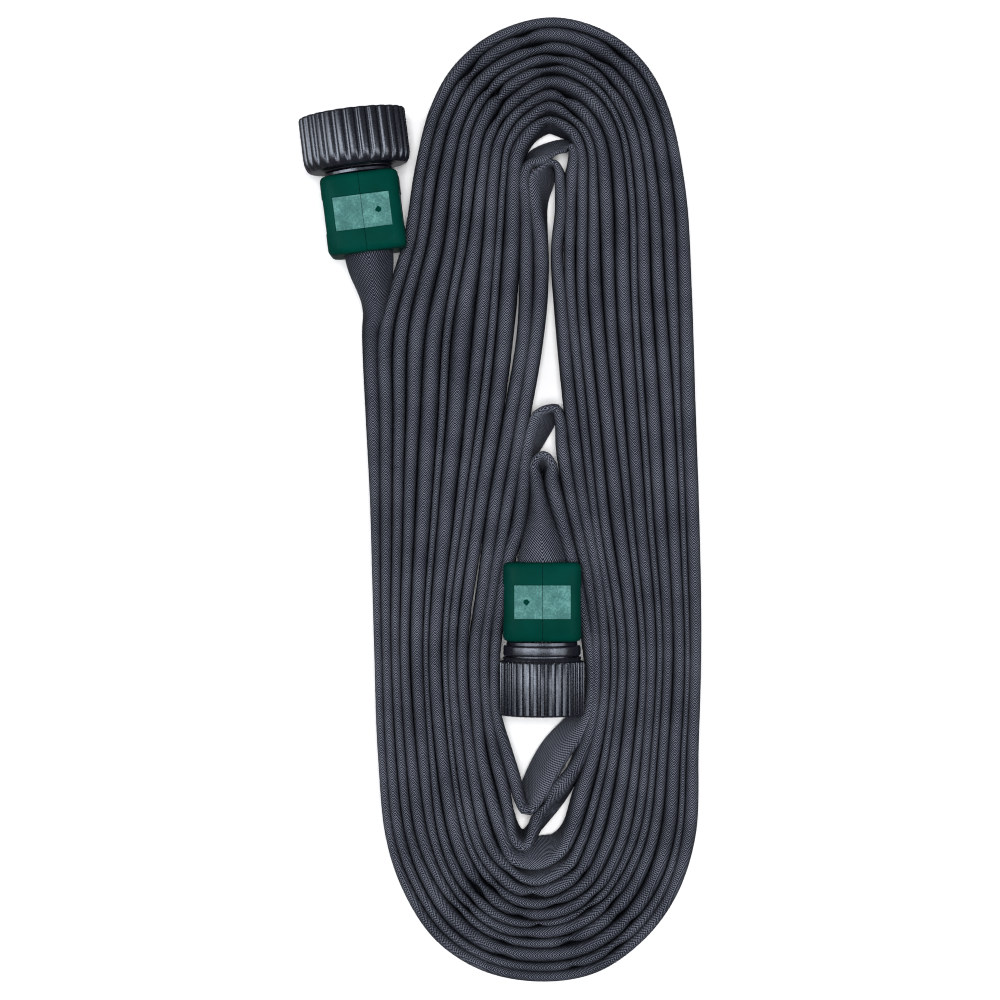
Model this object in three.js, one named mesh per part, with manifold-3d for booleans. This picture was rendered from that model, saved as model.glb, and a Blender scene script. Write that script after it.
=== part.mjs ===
// Flat soaker hose wound on its edge into an oval coil, with a swivel nut at its inlet
// and a screwed cap on its outlet. Millimetres, +Z up. The origin is the middle of the
// coil, on the surface that the hose lies on. +Y runs along the coil.
import * as THREE from 'three';
import { mergeVertices } from 'three/addons/utils/BufferGeometryUtils.js';
import Module from 'manifold-3d';

const wasm = await Module();
wasm.setup();

// ---------- driving dimensions ----------

// Standard 3/4 in garden hose thread: 11.5 threads per inch.
const THREAD_PITCH = 25.4 / 11.5;
const MALE_ROOT_RADIUS = 12.15;
const MALE_CREST_RADIUS = 13.3;
const FEMALE_CREST_RADIUS = 12.55;
const FEMALE_ROOT_RADIUS = 13.7;
const THREAD_BASE_HALF = 0.65;
const THREAD_CREST_HALF = 0.25;

const HOSE_DIAMETER = 11; // round size when full of water
const HOSE_FLAT_WIDTH = 18; // width when empty and pressed flat
const GAP = 0.3; // between neighbouring pieces

// Clamp body, a rounded square prism split along its axis.
const CLAMP_LENGTH = 28;
const CLAMP_HALF_WIDTH = 13.85;
const CLAMP_CORNER = 5.5;
const CLAMP_BEVEL = 2;
const PAD_WIDTH = 20.4;
const PAD_LENGTH = 12.4;
const PAD_DEPTH = 0.5;

// Layers on the barbs, from the inside out.
const BORE_RADIUS = 3.8;
const BARB_ROOT = 5.2;
const BARB_CREST = 6;
const LINER_INNER = 6.3;
const LINER_OUTER = 6.9;
const JACKET_INNER = 7.2;
const JACKET_OUTER = 7.9;
const CLAMP_BORE = 8.2;
const CLAMP_MOUTH = 9;
const STEM_RADIUS = 6.8;
const KEY_RADIUS = 10.5; // flange that keys the tailpiece into the clamp
const KEY_START = 20.8;
const KEY_END = 23.7;

// Swivel nut, measured along the inlet axis from the hose end of its clamp.
const NUT_RADIUS = 19;
const NUT_RIBS = 28;
const NUT_START = 30.4;
const NUT_END = 50.1;
const NUT_HUB_RADIUS = 12.4;
const NUT_HUB_START = 29.9;
const NUT_FLOOR = 34.3;
const NUT_HOLE_RADIUS = 9;
const INLET_FLANGE_RADIUS = 11.6;
const INLET_FLANGE_END = 37.4;
const NUT_THREAD_START = 42.2;
const WASHER_THICKNESS = 3;
const WASHER_RADIUS = 13.1;
const DISC_RADIUS = 8;
const DISC_THICKNESS = 1.4;

// Outlet and cap, measured along the outlet axis from the hose end of its clamp.
const COLLAR_RADIUS = 13.75;
const COLLAR_START = 29.6;
const COLLAR_END = 33.3;
const MALE_THREAD_START = 35.1;
const MALE_END = 47.3;
const CAP_RADIUS = 15;
const CAP_RIBS = 36;
const CAP_LIP_START = 33.8;
const CAP_START = 35.1;
const CAP_FLOOR = 51;
const CAP_END = 54.6;

// Where the two couplings lie: the hose end of each clamp, on the coupling's axis.
const INLET_PLACE = [-57.9, 87, 19.1];
const INLET_LEAN = THREE.MathUtils.degToRad(7.2);
const OUTLET_PLACE = [3.55, -22.4, 15.1];

// Outline of the wound coil, from the foot of the lead down its left side, round the
// bottom, up the right side and round the top.
const COIL_OUTLINE = [
  [-60, 31], [-58.6, -30], [-55.6, -98], [-50, -131], [-38, -153], [-19, -168],
  [3, -171.7], [25, -166.8], [44, -152], [55, -132], [59.5, -98], [60.5, -40],
  [58.5, 35], [55.5, 90], [49.5, 135], [38, 158.5], [22, 169], [5, 171.5],
  [-12, 167], [-27, 155.5], [-36.5, 137], [-41.6, 121], [-43.2, 106], [-43.5, 90], [-47.6, 73],
];
// The lead lies against this step in the outline.
const LEAD_STEP = [[-50, 60], [-60, 60]];
// Slot that holds the outlet and leaves the cap its travel.
const SLOT_OUTLINE = [
  [-4, -6], [11, -6], [17.9, -20], [19.4, -40], [19.4, -84], [16, -88.5],
  [-8.5, -88.5], [-12.3, -84], [-12.3, -40], [-10.8, -20],
];
const LEAD_POINTS = [
  [-57.1, 80, 18.8], [-56.4, 73, 14.4], [-56.2, 67, 10.4], [-56.4, 63, 9], [-56.5, 60.4, 9],
];
const TAIL_POINTS = [[3.55, -18, 14.5], [3.5, -13, 11.3], [3.5, -9, 9], [3.5, -6.4, 9]];

const ROUND_SEGMENTS = 28;
const THREAD_STEPS = 20; // to a turn
const TUBE_SIDES = 12;

// ---------- materials ----------

const plastic = new THREE.MeshStandardMaterial({ color: 0x15171c, roughness: 0.42 });
const green = new THREE.MeshStandardMaterial({ color: 0x064236, roughness: 0.4 });
const rubber = new THREE.MeshStandardMaterial({ color: 0x0d0d0e, roughness: 0.85 });
const fabric = new THREE.MeshStandardMaterial({ color: 0x2b2f3a, roughness: 0.9 });
const liner = new THREE.MeshStandardMaterial({ color: 0x1c1c1d, roughness: 0.7 });

// ---------- solids ----------

function toSolid(geometry) {
  const plain = geometry.index ? geometry.toNonIndexed() : geometry.clone();
  plain.deleteAttribute('normal');
  plain.deleteAttribute('uv');
  const merged = mergeVertices(plain, 1e-4);
  const vertProperties = merged.attributes.position.array;
  const triVerts = Uint32Array.from(merged.index.array);
  const solid = new wasm.Manifold(new wasm.Mesh({ numProp: 3, vertProperties, triVerts }));
  if (solid.volume() > 0) return solid;
  triVerts.reverse(); // turns every face the other way round
  return new wasm.Manifold(new wasm.Mesh({ numProp: 3, vertProperties, triVerts }));
}

function toGeometry(solid) {
  const { vertProperties, triVerts } = solid.getMesh();
  const geometry = new THREE.BufferGeometry();
  geometry.setAttribute('position', new THREE.BufferAttribute(vertProperties, 3));
  geometry.setIndex(new THREE.BufferAttribute(triVerts, 1));
  return geometry;
}

// Solid of revolution about +Y from [radius, height] points, closed on itself.
function turned(points) {
  const closed = [...points, points[0]].map(([radius, height]) => new THREE.Vector2(radius, height));
  return toSolid(new THREE.LatheGeometry(closed, ROUND_SEGMENTS));
}

function ring(inner, outer, start, end) {
  return turned([[inner, start], [outer, start], [outer, end], [inner, end]]);
}

// Prism along +Y from an outline, from one height to another, its edges bevelled.
function prism(shape, start, end, bevel, bevelSegments) {
  const geometry = new THREE.ExtrudeGeometry(shape, {
    depth: end - start - 2 * bevel,
    bevelEnabled: bevel > 0,
    bevelThickness: bevel,
    bevelSize: bevel,
    bevelOffset: -bevel,
    bevelSegments,
    curveSegments: 5,
  });
  geometry.rotateX(-Math.PI / 2);
  geometry.translate(0, start + bevel, 0);
  return toSolid(geometry);
}

function box(width, length, height, x, y, z) {
  return toSolid(new THREE.BoxGeometry(width, length, height).translate(x, y, z));
}

function roundedSquare(half, corner) {
  const shape = new THREE.Shape();
  shape.moveTo(-half + corner, -half);
  shape.absarc(half - corner, -half + corner, corner, -Math.PI / 2, 0);
  shape.absarc(half - corner, half - corner, corner, 0, Math.PI / 2);
  shape.absarc(-half + corner, half - corner, corner, Math.PI / 2, Math.PI);
  shape.absarc(-half + corner, -half + corner, corner, Math.PI, 1.5 * Math.PI);
  return shape;
}

// Outline with raised grip ribs: each rib is two crest points and two valley points.
function ribbedOutline(radius, ribs, depth) {
  const step = (2 * Math.PI) / ribs;
  const profile = [[-0.22, radius], [0.22, radius], [0.36, radius - depth], [0.64, radius - depth]];
  const points = [];
  for (let rib = 0; rib < ribs; rib += 1) {
    for (const [part, r] of profile) points.push(polar(r, (rib + part) * step));
  }
  return new THREE.Shape(points);
}

function polar(radius, angle) {
  return new THREE.Vector2(radius * Math.cos(angle), radius * Math.sin(angle));
}

// Helical thread ridge about +Y, right handed. A straight bar of the ridge's section,
// one unit of length to a radian, is bent round the axis. Its ends run out over a
// twelfth of a turn, and its foot is sunk into the wall it stands on.
function threadRidge(base, crest, start, turns) {
  const sunk = base + Math.sign(base - crest) * 0.3;
  const section = new THREE.Shape([
    new THREE.Vector2(sunk, -THREAD_BASE_HALF),
    new THREE.Vector2(crest, -THREAD_CREST_HALF),
    new THREE.Vector2(crest, THREAD_CREST_HALF),
    new THREE.Vector2(sunk, THREAD_BASE_HALF),
  ]);
  const length = turns * 2 * Math.PI;
  const bar = new THREE.ExtrudeGeometry(section, {
    depth: length, steps: Math.round(turns * THREAD_STEPS), bevelEnabled: false,
  });
  const place = bar.attributes.position;
  for (let i = 0; i < place.count; i += 1) {
    const angle = place.getZ(i);
    const runOut = Math.min(1, 0.2 + Math.min(angle, length - angle) / (Math.PI / 6));
    const radius = sunk + (place.getX(i) - sunk) * runOut;
    const height = start + (THREAD_PITCH * angle) / (2 * Math.PI) + place.getY(i);
    place.setXYZ(i, radius * Math.sin(angle), height, radius * Math.cos(angle));
  }
  return toSolid(bar);
}

// ---------- pieces of a coupling, all about +Y from the clamp's hose end ----------

function clampHalf(side) {
  let body = prism(roundedSquare(CLAMP_HALF_WIDTH, CLAMP_CORNER), 0, CLAMP_LENGTH, CLAMP_BEVEL, 3);
  const middle = CLAMP_LENGTH / 2;
  const face = CLAMP_HALF_WIDTH;
  for (const sign of [-1, 1]) {
    body = body.subtract(box(PAD_WIDTH, PAD_LENGTH, 2 * PAD_DEPTH, 0, middle, sign * face));
    body = body.subtract(box(2 * PAD_DEPTH, PAD_LENGTH, PAD_WIDTH, sign * face, middle, 0));
  }
  const gateMark = new THREE.CylinderGeometry(0.9, 0.9, 0.6, 12).rotateX(Math.PI / 2);
  gateMark.translate(5.6, middle, face - PAD_DEPTH);
  body = body.add(toSolid(gateMark));
  body = body.subtract(turned([
    [0, -1], [CLAMP_MOUTH, -1], [CLAMP_MOUTH, 0], [CLAMP_BORE, 2], [CLAMP_BORE, 19],
    [STEM_RADIUS + GAP, 19.6], [STEM_RADIUS + GAP, KEY_START - GAP],
    [KEY_RADIUS + GAP, KEY_START - GAP], [KEY_RADIUS + GAP, KEY_END + GAP],
    [STEM_RADIUS + GAP, KEY_END + GAP], [STEM_RADIUS + GAP, CLAMP_LENGTH + 1], [0, CLAMP_LENGTH + 1],
  ]));
  const halfWidth = 20;
  return body.intersect(box(
    halfWidth, 2 * CLAMP_LENGTH, 2 * halfWidth, side * (halfWidth / 2 + GAP / 2), middle, 0,
  ));
}

// Outside of the barbed stem, from the hose's end to the clamp's front face.
function barbedStem() {
  const points = [[BORE_RADIUS, 2.5], [BARB_ROOT - 0.4, 2.5]];
  const barbStarts = [3, 8, 13];
  for (const start of barbStarts) {
    points.push([BARB_ROOT, start + 0.2], [BARB_CREST, start + 3.6], [BARB_ROOT, start + 3.9]);
  }
  points.push(
    [BARB_ROOT, 18.2], [STEM_RADIUS, 19.9], [STEM_RADIUS, KEY_START],
    [KEY_RADIUS, KEY_START], [KEY_RADIUS, KEY_END], [STEM_RADIUS, KEY_END],
    [STEM_RADIUS, CLAMP_LENGTH + GAP],
  );
  return points;
}

function inletTailpiece() {
  const neckRadius = 12.2;
  const seat = INLET_FLANGE_END - DISC_THICKNESS - GAP;
  return turned([
    ...barbedStem(),
    [neckRadius, CLAMP_LENGTH + GAP], [neckRadius, NUT_HUB_START - GAP],
    [NUT_HOLE_RADIUS - 0.4, NUT_HUB_START - GAP], [NUT_HOLE_RADIUS - 0.4, NUT_FLOOR + GAP],
    [INLET_FLANGE_RADIUS, NUT_FLOOR + GAP], [INLET_FLANGE_RADIUS, INLET_FLANGE_END],
    [DISC_RADIUS + GAP, INLET_FLANGE_END], [DISC_RADIUS + GAP, seat], [BORE_RADIUS, seat],
  ]);
}

function outletTailpiece() {
  const body = turned([
    ...barbedStem(),
    [COLLAR_RADIUS - 1.2, CLAMP_LENGTH + GAP], [COLLAR_RADIUS - 1.2, COLLAR_START],
    [COLLAR_RADIUS - 0.3, COLLAR_START], [COLLAR_RADIUS, COLLAR_START + 0.4],
    [COLLAR_RADIUS, COLLAR_END - 0.4], [COLLAR_RADIUS - 0.3, COLLAR_END],
    [MALE_ROOT_RADIUS, COLLAR_END], [MALE_ROOT_RADIUS, MALE_END - 0.8],
    [MALE_ROOT_RADIUS - 0.8, MALE_END], [9.5, MALE_END], [9.5, COLLAR_END], [BORE_RADIUS, COLLAR_START],
  ]);
  return body.add(threadRidge(MALE_ROOT_RADIUS, MALE_CREST_RADIUS, MALE_THREAD_START, 5));
}

function swivelNut() {
  const ribbed = prism(ribbedOutline(NUT_RADIUS, NUT_RIBS, 1.1), NUT_START, NUT_END, 0.8, 1);
  const hub = ring(0, NUT_HUB_RADIUS, NUT_HUB_START, NUT_START + 1);
  const hollow = turned([
    [0, NUT_HUB_START - 1], [NUT_HOLE_RADIUS, NUT_HUB_START - 1], [NUT_HOLE_RADIUS, NUT_FLOOR],
    [FEMALE_ROOT_RADIUS, NUT_FLOOR], [FEMALE_ROOT_RADIUS, NUT_END - 0.8],
    [FEMALE_ROOT_RADIUS + 0.8, NUT_END], [FEMALE_ROOT_RADIUS + 0.8, NUT_END + 1], [0, NUT_END + 1],
  ]);
  const thread = threadRidge(FEMALE_ROOT_RADIUS, FEMALE_CREST_RADIUS, NUT_THREAD_START, 2.8);
  return ribbed.add(hub).subtract(hollow).add(thread);
}

function endCap() {
  const ribbed = prism(ribbedOutline(CAP_RADIUS, CAP_RIBS, 0.7), CAP_START, CAP_END, 0.6, 1);
  const lip = ring(0, CAP_RADIUS - 1.1, CAP_LIP_START, CAP_START + 1);
  const hollow = ring(0, FEMALE_ROOT_RADIUS, CAP_LIP_START - 1, CAP_FLOOR);
  // The cap's ridge is on the same helix as the male one, half a pitch away from it.
  const start = MALE_THREAD_START + 2.5 * THREAD_PITCH;
  const thread = threadRidge(FEMALE_ROOT_RADIUS, FEMALE_CREST_RADIUS, start, 2.5);
  return ribbed.add(lip).subtract(hollow).add(thread);
}

// ---------- hose ----------

function tube(points) {
  const path = new THREE.CatmullRomCurve3(points.map((p) => new THREE.Vector3(...p)));
  const sides = Array.from({ length: TUBE_SIDES }, (_, side) => (
    polar(HOSE_DIAMETER / 2, (2 * Math.PI * side) / TUBE_SIDES)
  ));
  return toSolid(new THREE.ExtrudeGeometry(new THREE.Shape(sides), {
    steps: 6, bevelEnabled: false, extrudePath: path,
  }));
}

function coil() {
  const side = new THREE.SplineCurve(COIL_OUTLINE.map(([x, y]) => new THREE.Vector2(x, y)));
  const step = LEAD_STEP.map(([x, y]) => new THREE.Vector2(x, y));
  const shape = new THREE.Shape([...side.getPoints(4 * COIL_OUTLINE.length), ...step]);
  shape.holes.push(new THREE.Path(SLOT_OUTLINE.map(([x, y]) => new THREE.Vector2(x, y))));
  return toSolid(new THREE.ExtrudeGeometry(shape, { depth: HOSE_FLAT_WIDTH, bevelEnabled: false }));
}

// ---------- assembly ----------

const hose = new THREE.Group();

function piece(parent, name, solid, material) {
  const mesh = new THREE.Mesh(toGeometry(solid), material);
  mesh.name = name;
  parent.add(mesh);
}

// Clamp halves and the ends of the hose's two layers, the same at both couplings.
function hoseEnd(parent, end) {
  piece(parent, `${end}_clamp_left`, clampHalf(-1), green);
  piece(parent, `${end}_clamp_right`, clampHalf(1), green);
  piece(parent, `${end}_liner_end`, ring(LINER_INNER, LINER_OUTER, 0.6, 18), liner);
  piece(parent, `${end}_jacket_end`, ring(JACKET_INNER, JACKET_OUTER, 0.3, 18.6), fabric);
}

const inlet = new THREE.Group();
inlet.position.set(...INLET_PLACE);
inlet.rotation.z = INLET_LEAN;
hose.add(inlet);
hoseEnd(inlet, 'inlet');
piece(inlet, 'inlet_tailpiece', inletTailpiece(), plastic);
piece(inlet, 'inlet_nut', swivelNut(), plastic);
const washerStart = INLET_FLANGE_END + GAP;
piece(inlet, 'inlet_washer', ring(6.8, WASHER_RADIUS, washerStart, washerStart + WASHER_THICKNESS), rubber);
const discStart = INLET_FLANGE_END - DISC_THICKNESS;
piece(inlet, 'flow_disc', ring(1.3, DISC_RADIUS, discStart, INLET_FLANGE_END), liner);

const outlet = new THREE.Group();
outlet.position.set(...OUTLET_PLACE);
outlet.rotation.z = Math.PI;
hose.add(outlet);
hoseEnd(outlet, 'outlet');
piece(outlet, 'outlet_tailpiece', outletTailpiece(), plastic);
piece(outlet, 'cap_washer', ring(6.5, WASHER_RADIUS, MALE_END + GAP, CAP_FLOOR - GAP), rubber);
piece(outlet, 'end_cap', endCap(), plastic);

const [inletX, inletY, inletZ] = INLET_PLACE;
const leadStart = [inletX + GAP * Math.sin(INLET_LEAN), inletY - GAP * Math.cos(INLET_LEAN), inletZ];
piece(hose, 'hose_lead', tube([leadStart, ...LEAD_POINTS]), fabric);
const [outletX, outletY, outletZ] = OUTLET_PLACE;
piece(hose, 'hose_tail', tube([[outletX, outletY + GAP, outletZ], ...TAIL_POINTS]), fabric);
piece(hose, 'hose_coil', coil(), fabric);

export default hose;
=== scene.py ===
import math
import random

import bpy
from mathutils import Matrix, Vector


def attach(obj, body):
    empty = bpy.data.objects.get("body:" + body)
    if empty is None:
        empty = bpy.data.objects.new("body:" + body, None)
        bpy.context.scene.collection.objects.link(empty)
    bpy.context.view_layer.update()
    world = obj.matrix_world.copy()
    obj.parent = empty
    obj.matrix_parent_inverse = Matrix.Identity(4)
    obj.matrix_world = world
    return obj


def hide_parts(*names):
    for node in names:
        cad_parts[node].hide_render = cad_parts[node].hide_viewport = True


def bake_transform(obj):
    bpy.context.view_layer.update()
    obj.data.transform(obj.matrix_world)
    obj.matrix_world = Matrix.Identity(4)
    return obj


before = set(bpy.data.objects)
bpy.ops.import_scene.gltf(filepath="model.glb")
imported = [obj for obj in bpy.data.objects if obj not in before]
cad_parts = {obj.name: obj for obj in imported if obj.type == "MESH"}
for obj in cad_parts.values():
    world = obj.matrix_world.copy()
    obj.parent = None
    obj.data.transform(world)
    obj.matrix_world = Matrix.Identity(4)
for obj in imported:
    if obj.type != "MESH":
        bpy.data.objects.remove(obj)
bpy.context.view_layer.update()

MM = 0.001
scene = bpy.context.scene

# ---------- camera, light and floor ----------

camera_data = bpy.data.cameras.new("camera")
camera_data.sensor_width = 36
camera_data.lens = 111.6
camera_data.clip_start, camera_data.clip_end = 0.05, 20
camera = bpy.data.objects.new("camera", camera_data)
scene.collection.objects.link(camera)
camera.location = (-0.0114, -0.0004, 1.119)
scene.camera = camera

scene.view_settings.view_transform = "Standard"
# The weave is only a few pixels wide, so the pixel filter and the denoiser keep fine detail.
scene.cycles.filter_width = 1.1
scene.cycles.denoising_prefilter = "NONE"


COIL_MIDDLE = Vector((0, 0, 0))


def area_light(name, place, size, power, colour, diffuse=True, glossy=True):
    """A rectangular light that shines at the middle of the coil."""
    data = bpy.data.lights.new(name, "AREA")
    data.shape = "RECTANGLE"
    data.size, data.size_y = size
    data.energy = power
    data.color = colour
    light = bpy.data.objects.new(name, data)
    light.location = place
    light.visible_diffuse = diffuse
    light.visible_glossy = glossy
    light.rotation_euler = (COIL_MIDDLE - Vector(place)).to_track_quat("-Z", "Y").to_euler()
    scene.collection.objects.link(light)


area_light("overhead", (0, 0, 2.2), (0.55, 0.9), 50, (1, 1, 1), glossy=False)
area_light("left", (-1.15, 0.15, 1.75), (0.6, 1.6), 12, (0.96, 0.98, 1), glossy=False)
area_light("right", (1.2, -0.05, 1.7), (0.45, 1.6), 9, (0.93, 0.96, 1), glossy=False)
# Softboxes that only give the plastics their highlights.
BLUISH = (0.78, 0.86, 1)
for name, place, size, power in (
    ("box_low_left", (-1.5, 0.1, 0.75), (0.5, 1.6), 13),
    ("box_left", (-1.05, 0.15, 1.45), (0.75, 1.6), 26),
    ("strip_left", (-0.62, 0.1, 1.8), (0.14, 1.5), 11),
    ("strip_right", (0.75, 0, 1.7), (0.2, 1.5), 9),
    ("box_right", (1.35, -0.05, 1.15), (0.6, 1.6), 18),
):
    area_light(name, place, size, power, BLUISH, diffuse=False)

world = bpy.data.worlds.new("studio")
world.use_nodes = True
background = world.node_tree.nodes["Background"]
background.inputs["Color"].default_value = (0.93, 0.95, 1, 1)
background.inputs["Strength"].default_value = 0.22
scene.world = world


# ---------- materials ----------


class Maker:
    """Adds nodes to one material and links them. A value is a number or another node's
    output."""

    def __init__(self, name):
        self.material = bpy.data.materials.new(name)
        self.material.use_nodes = True
        self.tree = self.material.node_tree
        self.shader = self.tree.nodes["Principled BSDF"]

    def node(self, kind, **settings):
        made = self.tree.nodes.new(kind)
        for key, value in settings.items():
            setattr(made, key, value)
        return made

    def link(self, source, target):
        if isinstance(source, (int, float)):
            target.default_value = source
        else:
            self.tree.links.new(source, target)

    def math(self, operation, a, b=0.0, c=0.0):
        made = self.node("ShaderNodeMath", operation=operation)
        for socket, value in zip(made.inputs, (a, b, c)):
            self.link(value, socket)
        return made.outputs[0]

    def noise(self, scale, detail):
        made = self.node("ShaderNodeTexNoise")
        made.inputs["Scale"].default_value = scale
        made.inputs["Detail"].default_value = detail
        place = self.node("ShaderNodeTexCoord").outputs["Object"]
        self.link(place, made.inputs["Vector"])
        return made.outputs["Fac"]

    def ramp(self, factor, stops):
        made = self.node("ShaderNodeValToRGB")
        elements = made.color_ramp.elements
        while len(elements) < len(stops):
            elements.new(0.5)
        for element, (place, colour) in zip(elements, stops):
            element.position = place
            element.color = (*colour, 1)
        self.link(factor, made.inputs["Fac"])
        return made.outputs["Color"]

    def bump(self, height, distance, strength):
        made = self.node("ShaderNodeBump")
        made.inputs["Distance"].default_value = distance
        made.inputs["Strength"].default_value = strength
        self.link(height, made.inputs["Height"])
        self.link(made.outputs["Normal"], self.shader.inputs["Normal"])

    def set(self, **values):
        for key, value in values.items():
            self.shader.inputs[key.replace("_", " ")].default_value = value


def srgb(*values):
    """The linear colour of an sRGB one from 0 to 255."""
    return tuple(((v / 255 + 0.055) / 1.055) ** 2.4 if v > 10 else v / 3294 for v in values)


TWILL = 0.86 * MM  # from one twill line to the next, along the hose


def woven_jacket():
    """Twill that follows the hose: the UV map weave is metres along it and round it, and X in the
    UV map light is the painted light and shade of the weave there, which scales its colour."""
    m = Maker("woven_jacket")
    uv = m.node("ShaderNodeUVMap", uv_map="weave").outputs["UV"]
    split = m.node("ShaderNodeSeparateXYZ")
    m.link(uv, split.inputs["Vector"])
    along = m.math("DIVIDE", split.outputs["X"], TWILL)
    girth = m.math("DIVIDE", split.outputs["Y"], TWILL)
    # Slanting twill lines, and the ends of the threads that make them, across the lines.
    line = m.math("ADD", along, girth)
    cross = m.math("SUBTRACT", m.math("MULTIPLY", along, 0.62), m.math("MULTIPLY", girth, 0.7))
    ridge = m.math("SINE", m.math("MULTIPLY", line, 2 * math.pi))
    float_end = m.math("SINE", m.math("MULTIPLY", cross, 2 * math.pi))
    height = m.math("MULTIPLY_ADD", ridge, 0.36, 0.5)
    height = m.math("MULTIPLY_ADD", float_end, 0.12, height)
    # Painted light and shade: X of the UV map light darkens the gaps, the coil's ends and the
    # lead, and lightens leaning faces; with random clouds it scales the twill's tone.
    light = m.node("ShaderNodeSeparateXYZ")
    m.link(m.node("ShaderNodeUVMap", uv_map="light").outputs["UV"], light.inputs["Vector"])
    cloud = m.math("MULTIPLY_ADD", m.noise(75, 3), 0.5, 0.75)
    shade = m.math("MULTIPLY", cloud, light.outputs["X"])
    tone = m.math("MULTIPLY", height, shade)
    colour = m.ramp(tone, [
        (0.12, srgb(4, 5, 9)), (0.4, srgb(20, 22, 28)),
        (0.66, srgb(53, 56, 66)), (0.95, srgb(108, 112, 124)),
    ])
    m.link(colour, m.shader.inputs["Base Color"])
    m.link(m.math("MULTIPLY_ADD", height, -0.25, 0.85), m.shader.inputs["Roughness"])
    m.set(Specular_IOR_Level=0.12)
    m.bump(height, 0.16 * MM, 0.9)
    return m.material


def moulded(name, dark, light, roughness, grain, bump, specular=0.5):
    """Moulded plastic: cloudy colour from dark to light, a fine grain whose height is
    bump, and polish that varies a little."""
    m = Maker(name)
    cloud = m.noise(90, 4)
    m.link(m.ramp(cloud, [(0.3, dark), (0.7, light)]), m.shader.inputs["Base Color"])
    fine = m.noise(grain, 3)
    worn = m.math("MULTIPLY_ADD", m.math("SUBTRACT", fine, 0.5), 0.25, roughness)
    m.link(worn, m.shader.inputs["Roughness"])
    m.bump(fine, bump, 0.6)
    m.set(Specular_IOR_Level=specular)
    return m.material


def pad_plastic():
    """Etched grip pads, lighter than the polished body round them."""
    m = Maker("etched_pad")
    grain = m.noise(1500, 3)
    cloud = m.noise(220, 4)
    mixed = m.math("MULTIPLY_ADD", grain, 0.45, m.math("MULTIPLY", cloud, 0.55))
    m.link(m.ramp(mixed, [
        (0.32, srgb(32, 80, 76)), (0.5, srgb(54, 104, 99)), (0.68, srgb(88, 139, 133)),
    ]), m.shader.inputs["Base Color"])
    m.set(Roughness=0.72, Specular_IOR_Level=0.4)
    m.bump(grain, 0.12 * MM, 0.6)
    return m.material


JACKET = woven_jacket()
GREEN = moulded("green_plastic", srgb(0, 46, 38), srgb(1, 57, 49), 0.36, 900, 0.03 * MM, 0.012)
PAD = pad_plastic()
BLACK = moulded("black_plastic", srgb(9, 10, 17), srgb(15, 16, 26), 0.27, 1300, 0.035 * MM)
RUBBER = moulded("washer_rubber", srgb(14, 14, 15), srgb(24, 24, 25), 0.8, 1600, 0.08 * MM)
LINER = moulded("liner", srgb(26, 26, 27), srgb(40, 40, 41), 0.6, 700, 0.06 * MM)
DISC = moulded("disc_plastic", srgb(190, 190, 186), srgb(214, 214, 208), 0.4, 900, 0.03 * MM)
FLOOR = moulded("floor", srgb(243, 243, 244), srgb(248, 248, 248), 0.85, 60, 0.02 * MM)


# ---------- mesh helpers ----------


def new_object(name, points, faces, materials, smooth_angle=None, face_material=None):
    """Mesh object, smooth but for edges that turn more than smooth_angle degrees.
    face_material is the index of each face's material."""
    mesh = bpy.data.meshes.new(name)
    mesh.from_pydata([tuple(p) for p in points], [], faces)
    for material in materials:
        mesh.materials.append(material)
    if face_material:
        for polygon, index in zip(mesh.polygons, face_material):
            polygon.material_index = index
    mesh.validate()
    mesh.update()
    made = bpy.data.objects.new(name, mesh)
    scene.collection.objects.link(made)
    mesh.shade_smooth()
    if smooth_angle:
        bpy.context.view_layer.objects.active = made
        made.select_set(True)
        bpy.ops.object.shade_smooth_by_angle(angle=math.radians(smooth_angle))
        made.select_set(False)
    return made


def loop_faces(rows, columns, rows_closed=False):
    """Quads between successive rows of points, each row closed on itself."""
    faces = []
    for i in range(rows if rows_closed else rows - 1):
        a, b = i * columns, ((i + 1) % rows) * columns
        for j in range(columns):
            k = (j + 1) % columns
            faces.append((a + j, a + k, b + k, b + j))
    return faces


def capped_faces(rows, columns):
    """The same quads, with a face over the first row and one over the last."""
    last = (rows - 1) * columns
    caps = [tuple(range(columns))[::-1], tuple(last + j for j in range(columns))]
    return loop_faces(rows, columns) + caps


# ---------- the hose ----------

HOSE_WIDTH = 17.9  # pressed flat, in mm
# Round, when it runs full. It is declared instead of the width, because the turns stand so
# close on edge that a cord as thick as the width would lie in itself.
CLAMPED_OUTSIDE, CLAMPED_INSIDE = 7.9, 7.2  # radii of the jacket on the barbs
CLAMPED_RINGS = (18.6, 10, 3)  # how far inside a clamp's mouth the hose has rings
POCKET_DEPTH = 17.6  # of the hollow in a clamped end, for the liner and the barbs
MOUTH = (-0.4, 17.2, 14.6)  # just outside a clamp: reach, thickness, width

# The inlet and outlet couplings: the hose end of each clamp, and its turn about Z.
INLET = ((-57.9, 87, 19.1), 7.2)
OUTLET = ((3.55, -22.4, 15.1), 180)

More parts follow.
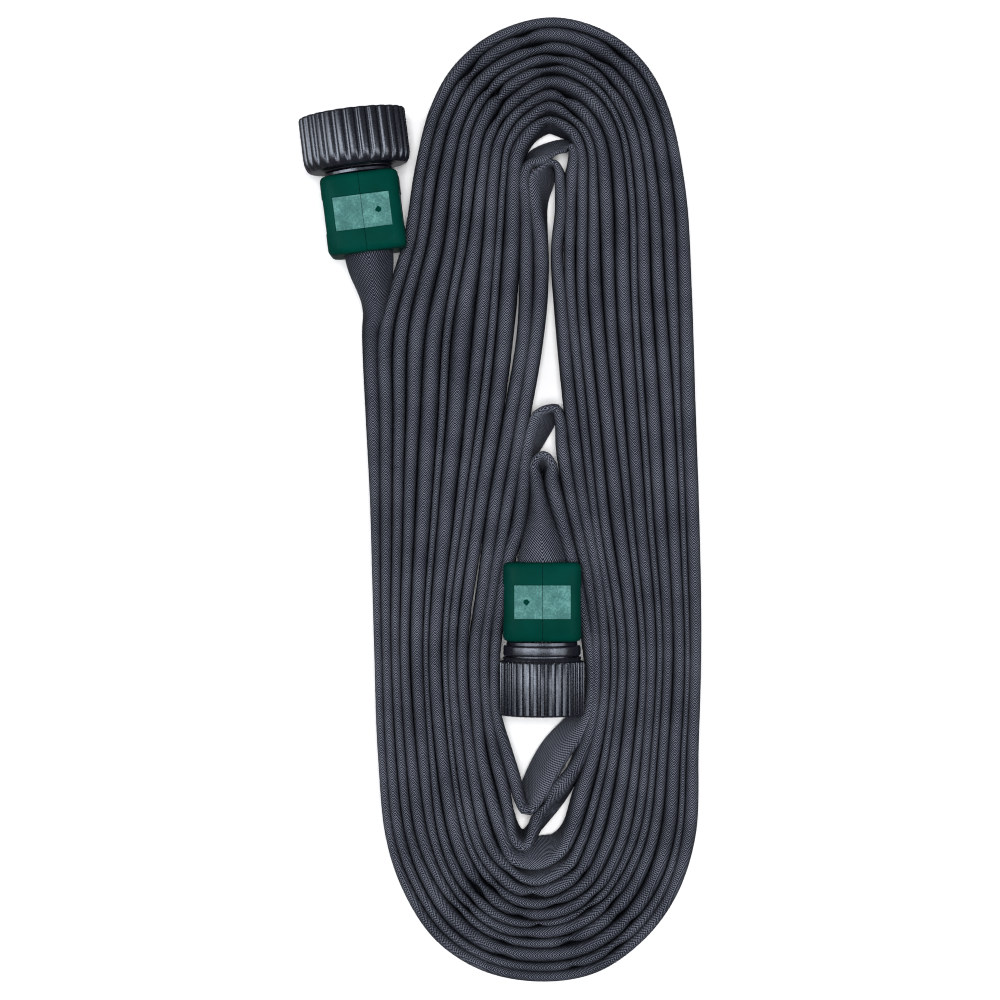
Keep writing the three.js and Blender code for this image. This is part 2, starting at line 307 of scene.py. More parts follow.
# One turn of the coil: where the outermost and the innermost of the ten regular turns
# pass each station. Millimetres on the floor, +Y up in the photograph.
STATIONS = [
    ((-56.5, 60), (-9, 60)), ((-56, 28), (-13, 28)), ((-55.5, -4), (-18, -4)),
    ((-54.5, -53.5), (-24.5, -53.5)), ((-53, -91), (-21.5, -91)),
    ((-50, -120.5), (-16.5, -117)), ((-43.5, -139.5), (-13, -125.5)),
    ((-32.5, -156), (-8.5, -131)), ((-16.5, -166.5), (-4, -135)), ((2.5, -170), (2, -136)),
    ((21.5, -167), (8, -134)), ((37.5, -156.5), (14, -129.5)), ((49, -141.5), (17.4, -123)),
    ((56, -120.5), (20.9, -114)), ((57.5, -89), (26.8, -89)), ((58.5, -53.5), (29.5, -53.5)),
    ((57.5, -4), (22.5, -4)), ((56, 35), (18, 35)), ((54.5, 74), (14, 74)),
    ((52.5, 109.5), (14, 108)), ((47, 137.5), (14, 121)), ((39.5, 152.5), (12, 126.5)),
    ((26.5, 164), (9.7, 129.6)), ((7.5, 169.5), (6, 132.3)), ((-11.5, 164.5), (2.6, 128.6)),
    ((-25.5, 153.5), (0.5, 125.5)), ((-34, 139), (-1.5, 121)), ((-39.3, 118.5), (-2, 113)),
    ((-43.3, 92), (-2.5, 92)),
]
TURNS = 9  # steps from the outermost turn to the innermost
LAST_STATION = 19  # where the regular turns end, at the top of the right side
TURN_SEED = 12
WANDER, WANDER_MOST = 0.5, 0.22  # of the line between two turns, as shares of a turn
CLOSENESS = 0.99  # a turn's thickness, over the room it has
FIRST_THICKER = {0: 1.75, 1: 1.5}  # the outermost turn, coming from the lead, by station
OUTER_THICKER = 1.1  # the outermost turn at its other stations
# Where a regular turn leans outward at the ends of the coil: turn, station, degrees.
LEANING = {(8, 22): 6, (8, 23): 11, (8, 24): 3, (7, 23): 6,
           (9, 8): 7, (9, 9): 14, (9, 10): 15, (9, 11): 8, (8, 9): 6, (8, 10): 8}

# The lead, from the inlet clamp down to the first turn: x, y, z, thickness, width.
LEAD = [
    (-57.1, 81, 17.6, 15.8, 15.2), (-56.4, 76, 15.4, 13, 16.4), (-55.9, 71.5, 12.8, 10.6, 17.4),
    (-55.8, 66, 10.4, 9, 17.9),
]
# The inner turns, where the hose leans, folds and crosses: x, y, lean in degrees
# (positive is inward), thickness.
INNER = [
    (14.2, 116, 0, 4.4), (15, 122, 2, 3.8), (14.6, 125.6, 8, 2.8), (12.5, 126.2, 16, 2.9),
    (7, 124.4, 22, 3.6), (1.5, 122, 19, 3.6), (-1.8, 118.8, 6, 3.6), (-2.8, 114, 0, 4.4),
    (-2.2, 106, 0, 4.6),
    (-1.9, 88, 0, 4.8), (-2.6, 60, 0, 5.2), (-8, 28, 0, 4.8), (-13.5, -4, 0, 4.8),
    (-18, -36, 0, 4.6), (-20.5, -53.5, 0, 4.4), (-20, -71.5, 0, 4.2), (-18, -91, 0, 4.2),
    (-14.1, -108, 0, 4.9), (-9.7, -120.8, -4, 4.8), (-6, -126.4, -16, 4.2),
    (-1.5, -127.2, -28, 3.8), (4, -126.4, -30, 3.8), (9.3, -124, -18, 4.2),
    (13.8, -118, -4, 5.6), (17.4, -107, 0, 6.3),
    (22.5, -89, 0, 4.9), (25.6, -71.5, 0, 3.6), (26, -53.5, 0, 3.5), (23.5, -29, 0, 3.8),
    (18, -0.5, 0, 4.4), (13.5, 35, 0, 4.6), (10.5, 67, 0, 4.4), (9, 88.5, 0, 4.2),
    (10.5, 102.5, 0, 4.2), (10.5, 111.5, 2, 3.8), (10, 117, 2, 3), (8.4, 119.6, 0, 2.6),
    (6.2, 118.8, -15, 3), (3.4, 114.4, -28, 3.6), (2.2, 107, -14, 4.8), (3, 92, 0, 5.4),
    (3, 74, 0, 5.4), (1, 54.5, 0, 5.4), (-4, 24.5, 0, 4.8), (-9, -4, 0, 4.4), (-14.5, -36, 0, 3.8),
    (-17, -53.5, 0, 3.5), (-16.5, -71.5, 0, 3.5), (-13.8, -89, 0, 4.3), (-10.6, -102, 0, 4.5),
    (-8.2, -113, 0, 4), (-5.8, -120.3, -8, 3.6), (-3, -122.4, -13, 3.4), (0.2, -118.8, 0, 4.6),
    (4.2, -112, 14, 6), (9.6, -105, 14, 6), (14.4, -98, 6, 5.2), (18.4, -89, 0, 4.6),
    (21.8, -76.5, 0, 3.7), (23, -53.5, 0, 3.4), (20, -29, 0, 3.8),
    (14, -0.5, 0, 4.4), (11, 18, 0, 4.6), (10.3, 27, 0, 4), (8.8, 32, 0, 3.4),
    (6.5, 31, -14, 3.4), (4.2, 28.5, -25, 3.6), (1.2, 22, -18, 4), (-1.4, 15, -6, 4.4),
    (-3.5, -0.5, 0, 5.2), (-5, -10.5, 0, 5.6), (-8, -20, 0, 5.1), (-12.8, -50, 0, 4.1),
    (-13.5, -64.5, 0, 3.4), (-13, -76.5, 0, 3.8), (-9.4, -90, 0, 4.5), (-6.4, -100, 0, 4.7),
    (-4.1, -107, -4, 4), (-1.9, -109.6, -14, 3.6), (0, -106, -24, 4.8), (3.8, -98, -28, 6.2),
    (8.8, -89.6, -28, 6.2), (14.6, -82.6, -22, 5.2), (19.2, -75.5, -8, 3.9), (21, -66, 0, 3.4),
    (20.7, -57, 0, 3.8), (18, -39.5, 0, 3.9), (13.8, -20, 0, 4.9),
    (8.7, -0.5, 0, 5.8), (6.9, 7.5, 0, 5.4), (6.2, 11.6, -8, 3.6), (3.9, 13.4, -17, 3),
    (1.6, 11.8, -8, 3.4), (1.5, 7.5, 0, 4.6), (2, 3, 0, 5.6),
]
INNER_THICKER = 1.04  # so that the inner turns touch each other
# The tail, which opens out into the outlet clamp: x, y, z, thickness, width.
TAIL = [(2.4, -0.5, 9.2, 6.8, 17.9), (3, -10.5, 11.6, 11.6, 17.4), (3.3, -17, 14, 15.2, 16)]
FLOOR_GAP = 0.1  # under the hose


def resting_height(lean, thickness, width):
    """Height of the middle of a hose that leans, with its lower edge on the floor."""
    core = (width - thickness) / 2
    return core * math.cos(math.radians(lean)) + thickness / 2 + FLOOR_GAP


def wandering(count):
    """That many random shares of a turn, which change slowly from one to the next."""
    rng = random.Random(TURN_SEED)
    weights = (1, 2, 3, 4, 3, 2, 1)
    raw = [rng.uniform(-1, 1) for _ in range(count + len(weights) - 1)]
    shares = []
    for i in range(count):
        slow = sum(weight * raw[i + j] for j, weight in enumerate(weights))
        shares.append(max(-WANDER_MOST, min(WANDER_MOST, slow / len(weights) * WANDER)))
    return shares


def coil_knots():
    """Knots (x, y, z, lean, thickness, width) of the regular turns, from the outside in.
    The line between one turn and the next wanders, so some turns are thick and some thin,
    and both neighbours keep to that line."""
    count = len(STATIONS)
    total = TURNS * count + LAST_STATION + 1
    wander = wandering(total + count + 1)
    knots = []
    for i in range(total):
        turn, station = divmod(i, count)
        before = 0 if turn == 0 else wander[i + 1]
        after = 0 if turn == TURNS else wander[i + 1 + count]
        outer, inner = (Vector(p) for p in STATIONS[station])
        step = (inner - outer) / TURNS
        place = outer + step * (turn + (before + after) / 2)
        share = 1 + after - before
        thickness = step.length * share * CLOSENESS
        if turn == 0:
            thickness *= FIRST_THICKER.get(station, OUTER_THICKER)
        width = HOSE_WIDTH - 1.6 * max(0, 1.05 - share)  # thin turns stand a little lower
        lean = LEANING.get((turn, station), 0)
        place += step.normalized() * (width - thickness) / 2 * math.sin(math.radians(lean))
        knots.append((*place, resting_height(lean, thickness, width), -lean, thickness, width))
    return knots


def clamp_point(end, reach):
    """A point on a clamp's axis, reach mm inside its mouth."""
    (x, y, z), turn = end
    angle = math.radians(turn)
    return (x - reach * math.sin(angle), y + reach * math.cos(angle), z)


def clamped_knots(end):
    """Knots of a clamped end of the hose, from its cut edge to just outside the clamp."""
    across = 2 * CLAMPED_OUTSIDE
    knots = [(*clamp_point(end, reach), 0, across, across) for reach in CLAMPED_RINGS]
    reach, thickness, width = MOUTH
    return [*knots, (*clamp_point(end, reach), 0, thickness, width)]


def hose_knots():
    """Knots (x, y, z, lean, thickness, width) of the whole hose, from the inlet on."""
    lead = [(x, y, z, 0, thick, wide) for x, y, z, thick, wide in LEAD]
    inner = [
        (x, y, resting_height(lean, thick, HOSE_WIDTH), lean, thick * INNER_THICKER, HOSE_WIDTH)
        for x, y, lean, thick in INNER
    ]
    tail = [(x, y, z, 0, thick, wide) for x, y, z, thick, wide in TAIL]
    return [*clamped_knots(INLET), *lead, *coil_knots(), *inner, *tail,
            *clamped_knots(OUTLET)[::-1]]


def between(a, b, start, end, at):
    """The numbers at a place between a, which is at start, and b, which is at end."""
    return [((end - at) * x + (at - start) * y) / (end - start) for x, y in zip(a, b)]


def smooth_line(knots, step):
    """Centripetal Catmull-Rom line through the knots, carrying all their numbers, with a
    point about every step mm."""
    ends = ([2 * a - b for a, b in zip(knots[0], knots[1])],
            [2 * a - b for a, b in zip(knots[-1], knots[-2])])
    points = [ends[0], *knots, ends[1]]
    line = []
    for p0, p1, p2, p3 in zip(points, points[1:], points[2:], points[3:]):
        t = [0.0]
        for a, b in ((p0, p1), (p1, p2), (p2, p3)):
            t.append(t[-1] + math.dist(a[:3], b[:3]) ** 0.5)
        count = max(4, round(math.dist(p1[:3], p2[:3]) / step))
        for s in range(count):
            u = t[1] + (t[2] - t[1]) * s / count
            a1 = between(p0, p1, t[0], t[1], u)
            a2 = between(p1, p2, t[1], t[2], u)
            a3 = between(p2, p3, t[2], t[3], u)
            b1 = between(a1, a2, t[0], t[2], u)
            b2 = between(a2, a3, t[1], t[3], u)
            line.append(between(b1, b2, t[1], t[2], u))
    line.append(list(knots[-1]))
    return line


FOLD_TAPER = 1.7  # height of a folded edge, over half the thickness
# Directions round the hose's section at which it has points, in degrees from its top edge.
QUARTER = [14, 30, 48, 68, 88]
SECTION = [0, *QUARTER, 90, 92, 118, 150, 180, 210, 242, 268, 270,
           *[360 - a for a in QUARTER[::-1]]]
DENT_PINCH, DENT_DROP = 0.8, 8  # share of the thickness and mm of height that a full dent takes


def section_points(thickness, width, dent):
    """Outline of a flat hose whose folded edges taper: (across, up), and the girth from
    the top edge to each point. A dent pinches the upper half and lowers it."""
    fold = min(FOLD_TAPER * thickness / 2, width / 2)
    tall = width / 2 - fold
    points = []
    for angle in SECTION:
        s, c = math.sin(math.radians(angle)), math.cos(math.radians(angle))
        up = (0 if abs(c) < 1e-6 else math.copysign(tall, c)) + fold * c
        across = thickness / 2 * s
        if up > 0:
            across, up = across * (1 - DENT_PINCH * dent), up - DENT_DROP * dent
        points.append((across, up))
    girth = [0.0]
    half = SECTION.index(180)
    for a, b in zip(points[:half], points[1:half + 1]):
        girth.append(girth[-1] + math.dist(a, b))
    girth += girth[half - 1:0:-1]
    return points, girth


def ramped(value, start, end):
    """How far a value is on its way from start to end, from 0 to 1."""
    return max(0, min(1, (value - start) / (end - start)))


# Painted light and shade in the jacket's colour, in place of the light on the coil: lighter on
# upright top edges and on leaning faces, painted shade in the gaps between turns, round the coil's
# ends and on the lead.
PAINTED_EDGE_LIGHT = 1.08  # on the top edge of a turn that stands upright
PAINTED_LEAN_LIGHT, MOST_LEAN = 0.006, 25  # more light for each degree of lean, up to this lean
PAINTED_GAP_SHADE, DEEPEST_PAINTED_SHADE = 0.024, 0.36  # times the girth squared, and at most
PAINTED_TOP_END_SHADE, PAINTED_BOTTOM_END_SHADE, PAINTED_LEAD_SHADE = 0.08, 0.05, 0.13


def painted_weave_light(girth, lean, thickness, y, along):
    """Painted light and shade on the weave: painted shade down in the gaps between the turns,
    round the ends of the coil and on the lead, painted light where the hose leans or opens out."""
    gap = min(DEEPEST_PAINTED_SHADE, PAINTED_GAP_SHADE * girth * girth)
    shown = min(1, abs(lean) / 20 + min(0.8, ramped(thickness, 7, 12)))
    end = ramped(abs(y), 100, 150) * (PAINTED_TOP_END_SHADE if y > 0 else PAINTED_BOTTOM_END_SHADE)
    lead = PAINTED_LEAD_SHADE * ramped(along, 80, 50)
    leaning = PAINTED_LEAN_LIGHT * min(MOST_LEAN, abs(lean))
    return PAINTED_EDGE_LIGHT + leaning - gap * (1 - shown) - end - lead


DENT_SEED = 4
DENT_CHANCE = 0.15  # at each point of the line where a dent may be
DENT_SPACING = 16  # least distance from one dent to the next, in mm
DENT_DEPTHS, DENT_REACHES = (0.25, 0.62), (1.8, 4)
DENTED_FROM = 105  # distance of the coil's ends from its middle, in mm
UNDENTED = 1100  # mm of hose before the first dent: the outermost turn is smooth


def dented(line):
    """Adds to each point of the line the depth of the dent there, from 0 to 1. The hose
    is dented here and there where it goes round the ends of the coil."""
    rng = random.Random(DENT_SEED)
    along, spots = [0.0], []
    for a, b in zip(line, line[1:]):
        along.append(along[-1] + math.dist(a[:3], b[:3]))
        across = abs(b[0] - a[0]) > 0.7 * abs(b[1] - a[1])  # not along the coil's sides
        free = along[-1] > (spots[-1][0] + DENT_SPACING if spots else UNDENTED)
        if across and abs(b[1]) > DENTED_FROM and free and rng.random() < DENT_CHANCE:
            spots.append((along[-1], rng.uniform(*DENT_DEPTHS), rng.uniform(*DENT_REACHES)))
    for place, point in zip(along, line):
        point.append(sum(
            depth * math.exp(-((place - spot) / reach) ** 2)
            for spot, depth, reach in spots if abs(place - spot) < 3 * reach
        ))
    return line


LINE_STEP = 2.0  # from one ring of the hose to the next, in mm
SWAY_SEED = 11
SWAY = 0.5  # degrees that each of the nine waves leans the hose at most
SWAY_FROM = 60  # mm of hose before the sway is full


def swaying():
    """The hose's small uneven lean, in degrees, as a function of the mm along it."""
    rng = random.Random(SWAY_SEED)
    waves = [(rng.uniform(9, 55), rng.uniform(0, 6.28), rng.uniform(0.3, 1)) for _ in range(9)]

    def sway(along):
        total = sum(size * math.sin(along / length + phase) for length, phase, size in waves)
        return SWAY * total * min(1, along / SWAY_FROM)

    return sway


def hose_rings(line):
    """Each ring of the hose: its points in metres, the girth and the painted light and shade at
    each point, and the ring's distance along the hose in mm."""
    centres = [Vector(knot[:3]) for knot in line]
    sway = swaying()
    rings, along = [], 0.0
    for i, (centre, knot) in enumerate(zip(centres, line)):
        if i:
            along += (centre - centres[i - 1]).length
        lean, thickness, width, dent = knot[3:]
        forward = (centres[min(i + 1, len(centres) - 1)] - centres[max(i - 1, 0)]).normalized()
        left = Vector((0, 0, 1)).cross(forward).normalized()
        up = forward.cross(left)
        tilt = math.radians(lean + sway(along))
        tall = up * math.cos(tilt) + left * math.sin(tilt)
        across = left * math.cos(tilt) - up * math.sin(tilt)
        outline, girths = section_points(thickness, min(width, HOSE_WIDTH), dent)
        points = [(centre + across * u + tall * v) * MM for u, v in outline]
        light = [painted_weave_light(girth, lean, thickness, centre.y, along) for girth in girths]
        rings.append((points, girths, light, along))
    return rings


def pocket(rings, centres):
    """Rings of the hollow in a clamped end, from the hose's cut edge, where rings and centres
    start, to the bottom. Their girth, painted light and shade, and distance are the cut edge's."""
    _, girths, light, along = rings[0]
    hollow = []
    for (points, *_), centre in zip(rings, centres):
        if (centre - centres[0]).length > POCKET_DEPTH:
            break
        middle = centre * MM
        inside = [middle + (p - middle) * (CLAMPED_INSIDE / CLAMPED_OUTSIDE) for p in points]
        hollow.append((inside, girths, light, along))
    return hollow


def build_hose():
    """The hose as one closed mesh, its centreline, and its length in metres."""
    line = dented(smooth_line(hose_knots(), LINE_STEP))
    centres = [Vector(knot[:3]) for knot in line]
    rings = hose_rings(line)
    inlet_pocket = pocket(rings, centres)
    outlet_pocket = pocket(rings[::-1], centres[::-1])
    shell = inlet_pocket[::-1] + rings + outlet_pocket
    columns = len(SECTION)
    points = [p for ring_points, *_ in shell for p in ring_points]
    faces = [face[::-1] for face in capped_faces(len(shell), columns)]
    made = new_object("hose", points, faces, [JACKET])
    weave = made.data.uv_layers.new(name="weave").name
    # The UV map light holds the painted light and shade of the weave in X.
    light = made.data.uv_layers.new(name="light").name
    for loop in made.data.loops:
        row, column = divmod(loop.vertex_index, columns)
        _, girths, lights, along = shell[row]
        made.data.uv_layers[weave].data[loop.index].uv = (along * MM, girths[column] * MM)
        made.data.uv_layers[light].data[loop.index].uv = (lights[column], 0)
    return made, [centre * MM for centre in centres], rings[-1][3] * MM


hose, hose_path, hose_length = build_hose()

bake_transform(hose)
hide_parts("hose_lead", "hose_coil", "hose_tail", "inlet_jacket_end", "outlet_jacket_end")


# ---------- floor ----------

floor = new_object(
    "floor", [(-6, -6, 0), (6, -6, 0), (6, 6, 0), (-6, 6, 0)], [(0, 1, 2, 3)], [FLOOR],
)
floor.location.z = -0.2 * MM  # just under the lowest point of the hose
floor.visible_glossy = False

# ---------- couplings ----------

THREAD_PITCH = 25.4 / 11.5
ENDS = (("inlet", INLET), ("outlet", OUTLET))
SMOOTH_ANGLE, CLAMP_SMOOTH_ANGLE = 35, 40  # degrees; an edge that turns more is sharp


def coupling_matrix(end):
    """Puts a coupling in its place. It is made about +Y, in mm from its clamp's mouth."""
    place, turn = end
    return Matrix.Translation(Vector(place) * MM) @ Matrix.Rotation(math.radians(turn), 4, "Z")


def to_world(matrix, points):
    return [matrix @ (Vector(p) * MM) for p in points]


def around(radius, angle, height):
    """A point at that radius and height about +Y. Angle 0 is on top."""
    return (radius * math.sin(angle), height, radius * math.cos(angle))


def swept(profile, angles, relief=None):
    """Closed ring about +Y: a closed profile of (radius, height, rib share) at each angle.
    relief is how high the ribs stand at each angle, and repeats."""
    points = []
    for index, angle in enumerate(angles):
        raised = relief[index % len(relief)] if relief else 0
        points += [around(r + share * raised, angle, y) for r, y, share in profile]
    return points, loop_faces(len(angles), len(profile), rows_closed=True)


THREAD_FOOT, THREAD_CREST, THREAD_SUNK = 0.65, 0.25, 0.3  # half widths, and foot's depth
THREAD_STEPS = 40  # in each turn
RUN_OUT = math.pi / 6  # angle in which a thread rises to its full height


def thread(base, crest, start, turns):
    """Helical ridge about +Y, right handed, its foot sunk in the wall, tapered at its ends."""
    sunk = base + math.copysign(THREAD_SUNK, base - crest)
    section = [(sunk, -THREAD_FOOT), (crest, -THREAD_CREST), (crest, THREAD_CREST),
               (sunk, THREAD_FOOT)]
    if crest < base:
        section = section[::-1]
    count = round(turns * THREAD_STEPS)
    points = []
    for i in range(count + 1):
        angle = 2 * math.pi * i / THREAD_STEPS
        end = min(angle, 2 * math.pi * turns - angle)
        run_out = min(1, 0.2 + end / RUN_OUT)
        for r, y in section:
            height = start + THREAD_PITCH * i / THREAD_STEPS + y
            points.append(around(sunk + (r - sunk) * run_out, angle, height))
    return points, capped_faces(count + 1, 4)


def build(name, end, parts, material, body, node):
    """Joins (points, faces) parts into one piece on a coupling."""
    matrix = coupling_matrix(end)
    points, faces = [], []
    for part_points, part_faces in parts:
        first = len(points)
        points += to_world(matrix, part_points)
        faces += [tuple(first + v for v in face) for face in part_faces]
    piece = new_object(name, points, faces, [material], SMOOTH_ANGLE)
    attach(piece, body)
    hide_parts(node)


def even(count):
    """That many angles all round."""
    return [2 * math.pi * i / count for i in range(count)]


def ribbed(profile, ribs, shape):
    """Swept ring whose outside has ribs. shape is (share of a rib's step, height)."""
    step = 2 * math.pi / ribs
    angles = [(rib + share) * step for rib in range(ribs) for share, _ in shape]
    return swept(profile, angles, [height for _, height in shape])


NUT_RIBS, CAP_RIBS = 28, 36
# One rib of the nut and one of the cap: (share of a rib's step, height in mm).
NUT_RIB = [(-0.5, 0), (-0.41, 0.03), (-0.35, 0.2), (-0.3, 0.5), (-0.24, 0.83), (-0.14, 0.98),
           (0, 1), (0.14, 0.98), (0.24, 0.83), (0.3, 0.5), (0.35, 0.2), (0.41, 0.03)]
CAP_RIB = [(-0.5, 0), (-0.36, 0), (-0.29, 0.15), (-0.25, 0.6), (-0.19, 0.95), (0, 1),
           (0.19, 0.95), (0.25, 0.6), (0.29, 0.15), (0.36, 0)]

# The hose thread: the radii of root and crest, inside the nut and the cap, and outside the
# outlet's stem.
INSIDE_ROOT, INSIDE_CREST, OUTSIDE_ROOT, OUTSIDE_CREST = 13.7, 12.55, 12.15, 13.3
OUTSIDE_START = 35.1  # where the outside thread starts
CAP_TURNS = 2.5

NUT_PROFILE = [
    (9, 29.9, 0), (12, 29.9, 0), (12.4, 30.1, 0), (12.5, 30.4, 0), (16.6, 30.4, 0),
    (17.35, 30.7, 0.05), (17.7, 31.3, 0.3), (17.85, 32.2, 0.6), (17.95, 33.6, 0.9),
    (17.95, 35.4, 1.05), (17.95, 49.4, 1.05), (17.9, 49.8, 0.98), (17.75, 50.05, 0.8),
    (17.4, 50.1, 0.2), (15, 50.1, 0), (14.5, 50.1, 0), (INSIDE_ROOT, 49.3, 0),
    (INSIDE_ROOT, 42, 0), (INSIDE_ROOT, 34.6, 0), (13.4, 34.3, 0), (9.2, 34.3, 0), (9, 34.1, 0),
]
build("nut", INLET, [
    ribbed(NUT_PROFILE, NUT_RIBS, NUT_RIB), thread(INSIDE_ROOT, INSIDE_CREST, 42.2, 2.8),
], BLACK, "swivel_nut", "inlet_nut")

CAP_PROFILE = [
    (INSIDE_ROOT, 33.8, 0), (13.9, 33.8, 0), (14.0, 34.0, 0), (13.9, 34.3, 0), (13.75, 34.6, 0),
    (13.9, 35.1, 0), (14.0, 35.2, 0.3), (14.25, 35.5, 0.85), (14.3, 36, 1), (14.3, 45, 1),
    (14.3, 53.9, 1), (14.2, 54.3, 0.8), (13.9, 54.55, 0.3), (13.4, 54.6, 0), (7, 54.6, 0),
    (0.6, 54.6, 0), (0.6, 51, 0), (7, 51, 0), (13.4, 51, 0), (INSIDE_ROOT, 50.7, 0),
    (INSIDE_ROOT, 44, 0),
]
CAP_CENTRE = [(0.01, 51, 0), (0.7, 51, 0), (0.7, 54.6, 0), (0.01, 54.6, 0)]  # closes the cap
build("cap", OUTLET, [
    ribbed(CAP_PROFILE, CAP_RIBS, CAP_RIB),
    thread(INSIDE_ROOT, INSIDE_CREST, OUTSIDE_START + CAP_TURNS * THREAD_PITCH, CAP_TURNS),
    swept(CAP_CENTRE, even(12)),
], BLACK, "cap", "end_cap")


ROUND_STEPS = 72  # angles round a piece without ribs


def stem_profile():
    """Outside of the barbed stem, from the hose's end to the clamp's front."""
    points = [(3.8, 2.5), (4.8, 2.5)]
    for start in (3, 8, 13):
        points += [(5.2, start + 0.2), (6, start + 3.5), (5.9, start + 3.8), (5.2, start + 3.95)]
    points += [(5.2, 18.2), (6.8, 19.9), (6.8, 20.8), (10.3, 20.8), (10.5, 21), (10.5, 23.5)]
    return points + [(10.3, 23.7), (6.8, 23.7), (6.8, 28.3)]


def plain(points):
    """A profile without ribs, from points of (radius, height)."""
    return [(r, y, 0) for r, y in points]


build("inlet_stem", INLET, [swept(plain(stem_profile() + [
    (11.9, 28.3), (12.2, 28.5), (12.2, 29.4), (11.9, 29.6), (8.6, 29.6), (8.6, 34.6), (11.4, 34.6),
    (11.6, 34.8), (11.6, 37.2), (11.4, 37.4), (8.3, 37.4), (8.3, 35.7), (3.8, 35.7),
]), even(ROUND_STEPS))], BLACK, "hose", "inlet_tailpiece")

build("outlet_stem", OUTLET, [
    swept(plain(stem_profile() + [
        (12.4, 28.3), (12.6, 28.5), (12.6, 29.5), (13.1, 29.6), (13.5, 29.7), (13.7, 30),
        (13.75, 30.4), (13.75, 32.6), (13.7, 33), (13.5, 33.25), (13.2, 33.3),
        (OUTSIDE_ROOT, 33.3), (OUTSIDE_ROOT, 46.5), (11.35, 47.3), (9.7, 47.3), (9.5, 47.1),
        (9.5, 33.3), (3.8, 29.6),
    ]), even(ROUND_STEPS)),
    thread(OUTSIDE_ROOT, OUTSIDE_CREST, OUTSIDE_START, 5),
], BLACK, "hose", "outlet_tailpiece")


def washer_ring(inner, outer, start, end, soft):
    """Flat ring with rounded edges."""
    return swept(plain([
        (inner + soft, start), (outer - soft, start), (outer - 0.3 * soft, start + 0.3 * soft),
        (outer, start + soft), (outer, end - soft), (outer - 0.3 * soft, end - 0.3 * soft),
        (outer - soft, end), (inner + soft, end), (inner + 0.3 * soft, end - 0.3 * soft),
        (inner, end - soft), (inner, start + soft), (inner + 0.3 * soft, start + 0.3 * soft),
    ]), even(ROUND_STEPS))


build("tap_washer", INLET, [washer_ring(6.8, 13.1, 37.7, 40.7, 0.5)],
      RUBBER, "swivel_nut", "inlet_washer")
build("cap_seal_ring", OUTLET, [washer_ring(6.5, 13.1, 47.6, 50.7, 0.5)],
      RUBBER, "cap_seal", "cap_washer")
build("restrictor", INLET, [washer_ring(1.3, 8, 36, 37.4, 0.25)],
      DISC, "hose", "flow_disc")
for end_name, end in ENDS:
    build(end_name + "_liner", end, [washer_ring(6.3, 6.9, 0.6, 18, 0.15)],
          LINER, "hose", end_name + "_liner_end")

CLAMP_HALF, CLAMP_CORNER, CLAMP_LENGTH = 13.85, 5.5, 28
CLAMP_ROUND = 2.0  # round on the end edges
PAD_DEPTH, PAD_HALF, PAD_START, PAD_END = 0.5, 10.2, 7.8, 20.2
SEAM = 0.07  # half the gap between the two halves


def clamp_outline():
    """Half of a rounded square, from the seam on top to the seam below:
    (x, z, outward x, outward z, share of the pad's depth)."""
    core = CLAMP_HALF - CLAMP_CORNER
    pad_edge = math.degrees(math.asin((PAD_HALF - core) / CLAMP_CORNER))
    edge = [(-3.2, 1), (-1.6, 0.85), (0, 0)]  # degrees from the pad's edge, share
    corner = [(pad_edge + offset, share) for offset, share in edge]
    corner += [(angle, 0) for angle in (25, 32, 38, 45, 52, 58, 65)]
    corner += [(90 - pad_edge - offset, share) for offset, share in edge[::-1]]
    outline = [(x, CLAMP_HALF, 0, 1, 1) for x in (SEAM, 3, 6, core)]
    for angle, share in corner:
        s, c = math.sin(math.radians(angle)), math.cos(math.radians(angle))
        outline.append((core + CLAMP_CORNER * s, core + CLAMP_CORNER * c, s, c, share))
    outline += [(CLAMP_HALF, z, 1, 0, 1) for z in (core, 4, 0)]
    return outline + [(x, -z, nx, -nz, share) for x, z, nx, nz, share in outline[-2::-1]]


def clamp_stations():
    """(height, inset, share of the pad's depth) along a clamp's outside."""
    steps = [math.radians(a) for a in (0, 22.5, 45, 67.5, 90)]
    start = [(CLAMP_ROUND * (1 - math.cos(a)), CLAMP_ROUND * (1 - math.sin(a)), 0) for a in steps]
    pad = [(PAD_START, 0, 0), (PAD_START + 0.15, 0, 0.85), (PAD_START + 0.3, 0, 1), (14, 0, 1),
           (PAD_END - 0.3, 0, 1), (PAD_END - 0.15, 0, 0.85), (PAD_END, 0, 0)]
    return start + pad + [(CLAMP_LENGTH - y, inset, 0) for y, inset, _ in start[::-1]]


# Inside of a clamp, from its front to its mouth: (radius, height).
CLAMP_BORE_PROFILE = [(7.1, 28), (7.1, 24), (10.8, 24), (10.8, 20.5), (7.1, 20.5), (7.1, 19.6),
                      (8.2, 19), (8.2, 2), (9, 0)]


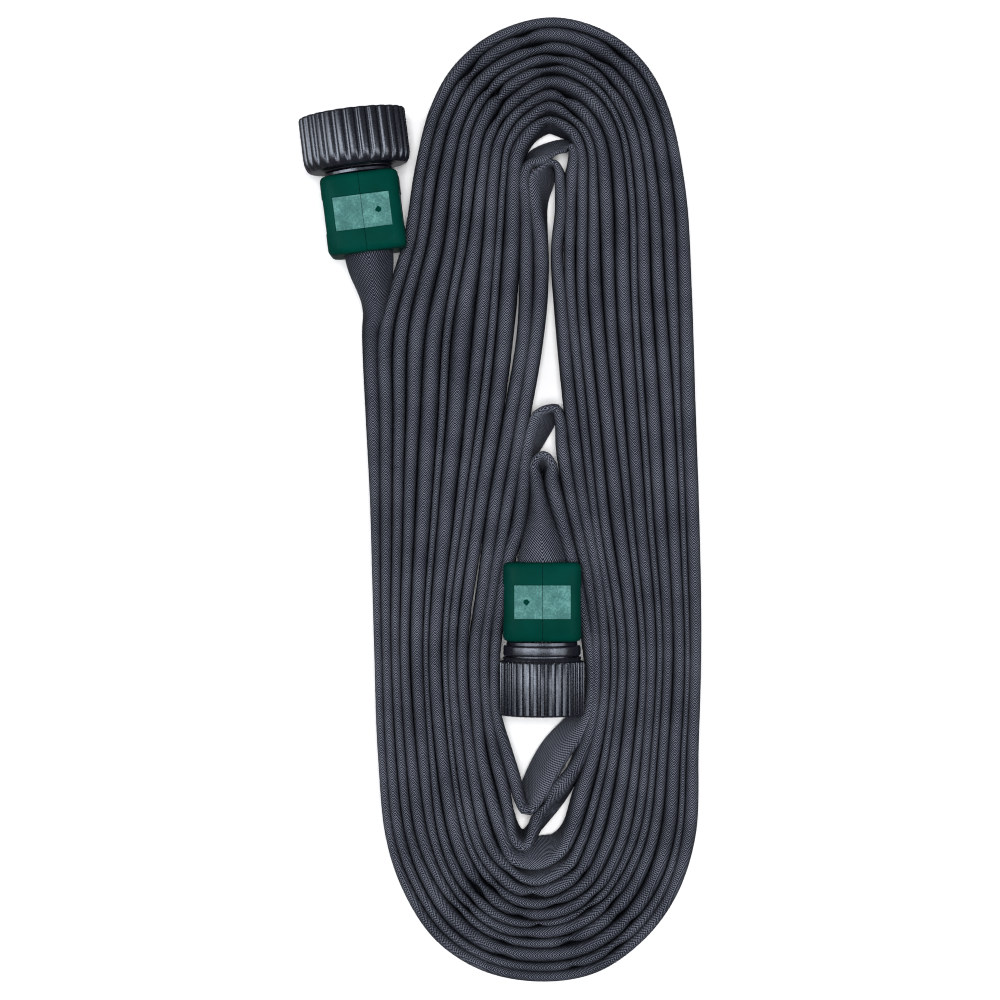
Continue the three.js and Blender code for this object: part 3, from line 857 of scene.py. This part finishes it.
def clamp_mesh(side):
    """Points and faces of the half on side -1 or 1 of the seam, and 1 for each pad face."""
    outline, stations = clamp_outline(), clamp_stations()
    pad_level = CLAMP_HALF - PAD_DEPTH
    points, pads = [], []
    for x, z, nx, nz, across_share in outline:
        for y, inset, along_share in stations:
            share = across_share * along_share
            px, pz = x - nx * inset, z - nz * inset
            if abs(nx) < abs(nz):
                pz += (math.copysign(min(abs(pz), pad_level), pz) - pz) * share
            else:
                px += (min(px, pad_level) - px) * share
            points.append((side * max(px, SEAM), y, pz))
            pads.append(share > 0.99)
        angle = math.atan2(x, z)
        for r, y in CLAMP_BORE_PROFILE:
            bx, bz = r * math.sin(angle), r * math.cos(angle)
            if x == SEAM:
                bx, bz = SEAM, math.copysign(math.sqrt(r * r - SEAM * SEAM), z)
            points.append((side * bx, y, bz))
            pads.append(False)
    faces = capped_faces(len(outline), len(stations) + len(CLAMP_BORE_PROFILE))
    if side > 0:
        faces = [f[::-1] for f in faces]
    return points, faces, [int(len(f) == 4 and all(pads[v] for v in f)) for f in faces]


def clamp_half(name, end, side, node, marked):
    """One half of a green body. If marked, it has the gate's scar."""
    points, faces, flags = clamp_mesh(side)
    if marked:
        mark_points, mark_faces, mark_flags = gate_mark()
        first = len(points)
        points += mark_points
        faces += [tuple(first + v for v in f) for f in mark_faces]
        flags += mark_flags
    place = coupling_matrix(end)
    materials = [GREEN, PAD]
    piece = new_object(name, to_world(place, points), faces, materials, CLAMP_SMOOTH_ANGLE, flags)
    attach(piece, "hose")
    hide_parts(node)


GATE_SEED = 3
GATE_X, GATE_Y = 5.6, 14  # its middle, from the seam and from the clamp's mouth


def gate_mark():
    """Scar of the moulding gate on the top pad: a torn dark pip inside a low ring."""
    rng = random.Random(GATE_SEED)
    level = CLAMP_HALF - PAD_DEPTH
    rings = [(2.5, -0.05), (2.2, 0.12), (1.9, 0.14), (1.6, 0.02), (1, 0.02), (0.85, 0.32),
             (0.5, 0.1), (0.25, 0.45)]
    pip = 4  # rings from here on are the pip
    sides = 14
    points = []
    for index, (radius, height) in enumerate(rings):
        rough = 0.22 if index >= pip else 0.05
        for j in range(sides):
            r = radius * (1 + rng.uniform(-rough, rough))
            angle = 2 * math.pi * j / sides
            x, y = GATE_X + r * math.cos(angle), GATE_Y - r * math.sin(angle)
            points.append((x, y, level + height))
    faces = loop_faces(len(rings), sides)
    flags = [int(i // sides < pip) for i in range(len(faces))]
    faces.append(tuple((len(rings) - 1) * sides + j for j in range(sides)))
    faces.append(tuple(range(sides))[::-1])
    return points, faces, flags + [0, 1]


for end_name, end in ENDS:
    clamp_half(end_name + "_body_left", end, -1, end_name + "_clamp_left", False)
    clamp_half(end_name + "_body_right", end, 1, end_name + "_clamp_right", True)
